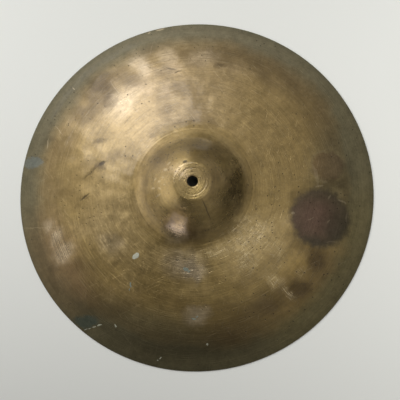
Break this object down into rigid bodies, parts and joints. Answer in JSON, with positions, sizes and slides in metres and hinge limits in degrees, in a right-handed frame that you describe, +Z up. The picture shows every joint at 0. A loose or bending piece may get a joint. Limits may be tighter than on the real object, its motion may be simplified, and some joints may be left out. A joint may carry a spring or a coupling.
{
  "type": "crash cymbal",
  "caption": "Round bronze crash cymbal: a raised bell with a drilled hole, a long shallow hammered bow and a thin rim.",
  "frame": {"origin": "centre of the plane that the rim lies on, straight below the hole", "axes": "+Z up the cymbal's axis through the bell; X and Y are free, because the disc is round"},
  "size_m": [0.4064, 0.4064, 0.05],
  "materials": {
    "bronze": "lathed and hammered bell bronze, unevenly tarnished",
    "dried_spots": "matt pale green and grey crust"
  },
  "bodies": {
    "root": {"cymbal": "bronze"}
  },
  "joints": []
}
